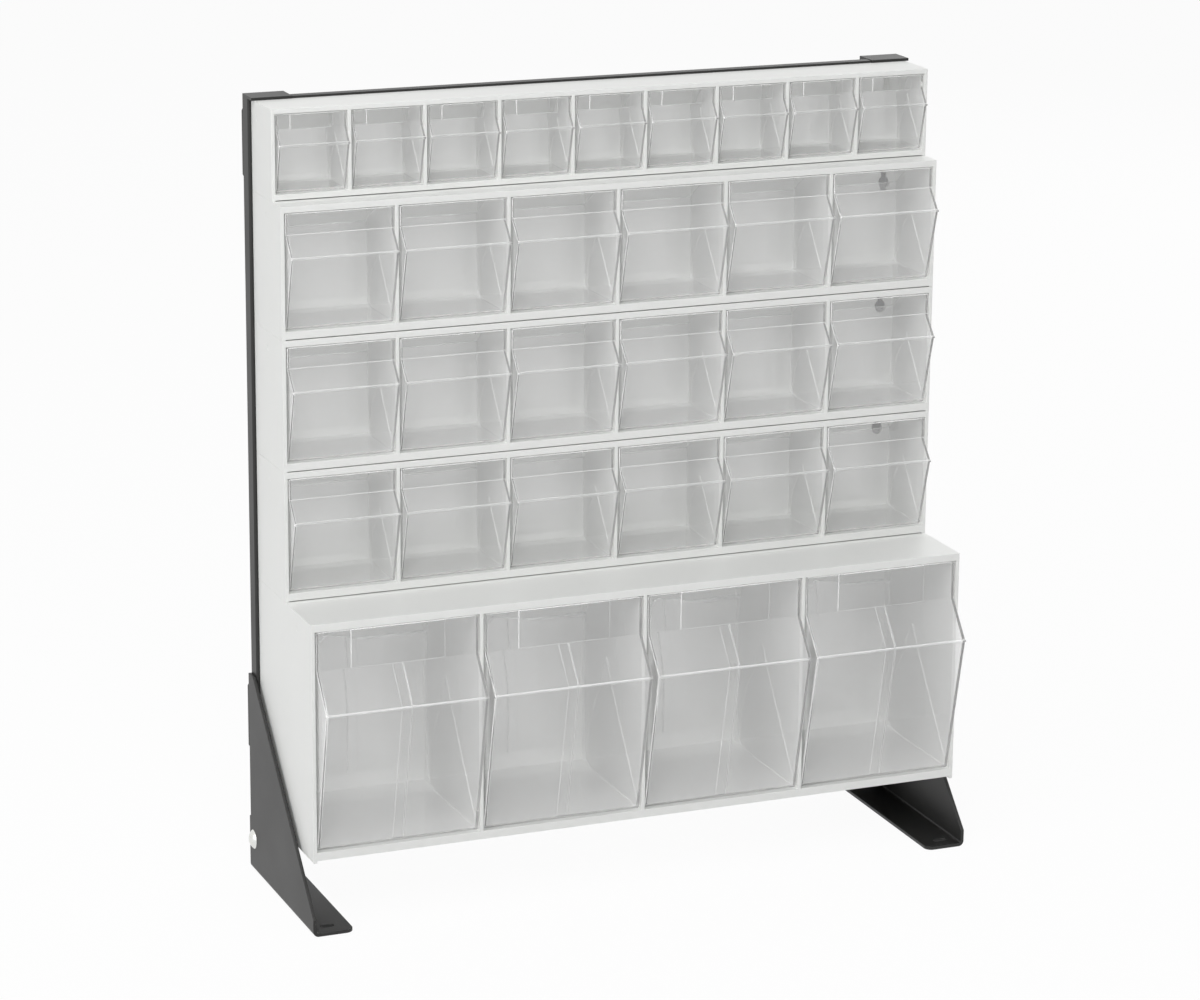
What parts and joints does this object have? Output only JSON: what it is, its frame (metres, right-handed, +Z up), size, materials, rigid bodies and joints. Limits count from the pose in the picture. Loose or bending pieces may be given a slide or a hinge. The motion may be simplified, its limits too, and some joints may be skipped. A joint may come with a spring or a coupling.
{
  "type": "tip-out parts bin cabinet",
  "caption": "Free-standing parts bin cabinet: stacked white housings with clear bins that tip out forwards, on a black steel stand with slotted feet.",
  "frame": {"origin": "on the floor, under the middle of the whole cabinet's box", "axes": "+Z up, the bins open towards -Y, +X to the right of someone facing the bins"},
  "size_m": [0.62, 0.1886, 0.6885],
  "materials": {
    "clear_plastic": "clear, glossy",
    "housing_white": "satin white",
    "black_steel": "satin black powder coat",
    "zinc_steel": "bright zinc plate"
  },
  "bodies": {
    "stand": {"top_housing": "housing_white", "upper_housing": "housing_white", "middle_housing": "housing_white", "lower_housing": "housing_white", "bottom_housing": "housing_white", "left_upright": "black_steel", "right_upright": "black_steel", "top_rail": "black_steel", "upper_cross_rail": "black_steel", "lower_cross_rail": "black_steel", "left_foot": "black_steel", "right_foot": "black_steel", "foot_bolts": "zinc_steel", "foot_nuts": "zinc_steel", "housing_screws": "zinc_steel"},
    "top_bin_1": {"top_bin_1": "clear_plastic"},
    "top_bin_2": {"top_bin_2": "clear_plastic"},
    "top_bin_3": {"top_bin_3": "clear_plastic"},
    "top_bin_4": {"top_bin_4": "clear_plastic"},
    "top_bin_5": {"top_bin_5": "clear_plastic"},
    "top_bin_6": {"top_bin_6": "clear_plastic"},
    "top_bin_7": {"top_bin_7": "clear_plastic"},
    "top_bin_8": {"top_bin_8": "clear_plastic"},
    "top_bin_9": {"top_bin_9": "clear_plastic"},
    "upper_bin_1": {"upper_bin_1": "clear_plastic"},
    "upper_bin_2": {"upper_bin_2": "clear_plastic"},
    "upper_bin_3": {"upper_bin_3": "clear_plastic"},
    "upper_bin_4": {"upper_bin_4": "clear_plastic"},
    "upper_bin_5": {"upper_bin_5": "clear_plastic"},
    "upper_bin_6": {"upper_bin_6": "clear_plastic"},
    "middle_bin_1": {"middle_bin_1": "clear_plastic"},
    "middle_bin_2": {"middle_bin_2": "clear_plastic"},
    "middle_bin_3": {"middle_bin_3": "clear_plastic"},
    "middle_bin_4": {"middle_bin_4": "clear_plastic"},
    "middle_bin_5": {"middle_bin_5": "clear_plastic"},
    "middle_bin_6": {"middle_bin_6": "clear_plastic"},
    "lower_bin_1": {"lower_bin_1": "clear_plastic"},
    "lower_bin_2": {"lower_bin_2": "clear_plastic"},
    "lower_bin_3": {"lower_bin_3": "clear_plastic"},
    "lower_bin_4": {"lower_bin_4": "clear_plastic"},
    "lower_bin_5": {"lower_bin_5": "clear_plastic"},
    "lower_bin_6": {"lower_bin_6": "clear_plastic"},
    "bottom_bin_1": {"bottom_bin_1": "clear_plastic"},
    "bottom_bin_2": {"bottom_bin_2": "clear_plastic"},
    "bottom_bin_3": {"bottom_bin_3": "clear_plastic"},
    "bottom_bin_4": {"bottom_bin_4": "clear_plastic"}
  },
  "joints": [
    {"name": "top_bin_1_tip", "type": "hinge", "parent": "stand", "child": "top_bin_1", "pos_m": [-0.26533, 0.02775, 0.6187], "axis": [1, 0, 0], "range_deg": [0, 48]},
    {"name": "top_bin_2_tip", "type": "hinge", "parent": "stand", "child": "top_bin_2", "pos_m": [-0.199, 0.02775, 0.6187], "axis": [1, 0, 0], "range_deg": [0, 48]},
    {"name": "top_bin_3_tip", "type": "hinge", "parent": "stand", "child": "top_bin_3", "pos_m": [-0.13267, 0.02775, 0.6187], "axis": [1, 0, 0], "range_deg": [0, 48]},
    {"name": "top_bin_4_tip", "type": "hinge", "parent": "stand", "child": "top_bin_4", "pos_m": [-0.06633, 0.02775, 0.6187], "axis": [1, 0, 0], "range_deg": [0, 48]},
    {"name": "top_bin_5_tip", "type": "hinge", "parent": "stand", "child": "top_bin_5", "pos_m": [0, 0.02775, 0.6187], "axis": [1, 0, 0], "range_deg": [0, 48]},
    {"name": "top_bin_6_tip", "type": "hinge", "parent": "stand", "child": "top_bin_6", "pos_m": [0.06633, 0.02775, 0.6187], "axis": [1, 0, 0], "range_deg": [0, 48]},
    {"name": "top_bin_7_tip", "type": "hinge", "parent": "stand", "child": "top_bin_7", "pos_m": [0.13267, 0.02775, 0.6187], "axis": [1, 0, 0], "range_deg": [0, 48]},
    {"name": "top_bin_8_tip", "type": "hinge", "parent": "stand", "child": "top_bin_8", "pos_m": [0.199, 0.02775, 0.6187], "axis": [1, 0, 0], "range_deg": [0, 48]},
    {"name": "top_bin_9_tip", "type": "hinge", "parent": "stand", "child": "top_bin_9", "pos_m": [0.26533, 0.02775, 0.6187], "axis": [1, 0, 0], "range_deg": [0, 48]},
    {"name": "upper_bin_1_tip", "type": "hinge", "parent": "stand", "child": "upper_bin_1", "pos_m": [-0.24875, 0.00575, 0.5076], "axis": [1, 0, 0], "range_deg": [0, 48]},
    {"name": "upper_bin_2_tip", "type": "hinge", "parent": "stand", "child": "upper_bin_2", "pos_m": [-0.14925, 0.00575, 0.5076], "axis": [1, 0, 0], "range_deg": [0, 48]},
    {"name": "upper_bin_3_tip", "type": "hinge", "parent": "stand", "child": "upper_bin_3", "pos_m": [-0.04975, 0.00575, 0.5076], "axis": [1, 0, 0], "range_deg": [0, 48]},
    {"name": "upper_bin_4_tip", "type": "hinge", "parent": "stand", "child": "upper_bin_4", "pos_m": [0.04975, 0.00575, 0.5076], "axis": [1, 0, 0], "range_deg": [0, 48]},
    {"name": "upper_bin_5_tip", "type": "hinge", "parent": "stand", "child": "upper_bin_5", "pos_m": [0.14925, 0.00575, 0.5076], "axis": [1, 0, 0], "range_deg": [0, 48]},
    {"name": "upper_bin_6_tip", "type": "hinge", "parent": "stand", "child": "upper_bin_6", "pos_m": [0.24875, 0.00575, 0.5076], "axis": [1, 0, 0], "range_deg": [0, 48]},
    {"name": "middle_bin_1_tip", "type": "hinge", "parent": "stand", "child": "middle_bin_1", "pos_m": [-0.24875, 0.00575, 0.3946], "axis": [1, 0, 0], "range_deg": [0, 48]},
    {"name": "middle_bin_2_tip", "type": "hinge", "parent": "stand", "child": "middle_bin_2", "pos_m": [-0.14925, 0.00575, 0.3946], "axis": [1, 0, 0], "range_deg": [0, 48]},
    {"name": "middle_bin_3_tip", "type": "hinge", "parent": "stand", "child": "middle_bin_3", "pos_m": [-0.04975, 0.00575, 0.3946], "axis": [1, 0, 0], "range_deg": [0, 48]},
    {"name": "middle_bin_4_tip", "type": "hinge", "parent": "stand", "child": "middle_bin_4", "pos_m": [0.04975, 0.00575, 0.3946], "axis": [1, 0, 0], "range_deg": [0, 48]},
    {"name": "middle_bin_5_tip", "type": "hinge", "parent": "stand", "child": "middle_bin_5", "pos_m": [0.14925, 0.00575, 0.3946], "axis": [1, 0, 0], "range_deg": [0, 48]},
    {"name": "middle_bin_6_tip", "type": "hinge", "parent": "stand", "child": "middle_bin_6", "pos_m": [0.24875, 0.00575, 0.3946], "axis": [1, 0, 0], "range_deg": [0, 48]},
    {"name": "lower_bin_1_tip", "type": "hinge", "parent": "stand", "child": "lower_bin_1", "pos_m": [-0.24875, 0.00575, 0.2816], "axis": [1, 0, 0], "range_deg": [0, 48]},
    {"name": "lower_bin_2_tip", "type": "hinge", "parent": "stand", "child": "lower_bin_2", "pos_m": [-0.14925, 0.00575, 0.2816], "axis": [1, 0, 0], "range_deg": [0, 48]},
    {"name": "lower_bin_3_tip", "type": "hinge", "parent": "stand", "child": "lower_bin_3", "pos_m": [-0.04975, 0.00575, 0.2816], "axis": [1, 0, 0], "range_deg": [0, 48]},
    {"name": "lower_bin_4_tip", "type": "hinge", "parent": "stand", "child": "lower_bin_4", "pos_m": [0.04975, 0.00575, 0.2816], "axis": [1, 0, 0], "range_deg": [0, 48]},
    {"name": "lower_bin_5_tip", "type": "hinge", "parent": "stand", "child": "lower_bin_5", "pos_m": [0.14925, 0.00575, 0.2816], "axis": [1, 0, 0], "range_deg": [0, 48]},
    {"name": "lower_bin_6_tip", "type": "hinge", "parent": "stand", "child": "lower_bin_6", "pos_m": [0.24875, 0.00575, 0.2816], "axis": [1, 0, 0], "range_deg": [0, 48]},
    {"name": "bottom_bin_1_tip", "type": "hinge", "parent": "stand", "child": "bottom_bin_1", "pos_m": [-0.22387, -0.06225, 0.0732], "axis": [1, 0, 0], "range_deg": [0, 48]},
    {"name": "bottom_bin_2_tip", "type": "hinge", "parent": "stand", "child": "bottom_bin_2", "pos_m": [-0.07462, -0.06225, 0.0732], "axis": [1, 0, 0], "range_deg": [0, 48]},
    {"name": "bottom_bin_3_tip", "type": "hinge", "parent": "stand", "child": "bottom_bin_3", "pos_m": [0.07462, -0.06225, 0.0732], "axis": [1, 0, 0], "range_deg": [0, 48]},
    {"name": "bottom_bin_4_tip", "type": "hinge", "parent": "stand", "child": "bottom_bin_4", "pos_m": [0.22387, -0.06225, 0.0732], "axis": [1, 0, 0], "range_deg": [0, 48]}
  ]
}
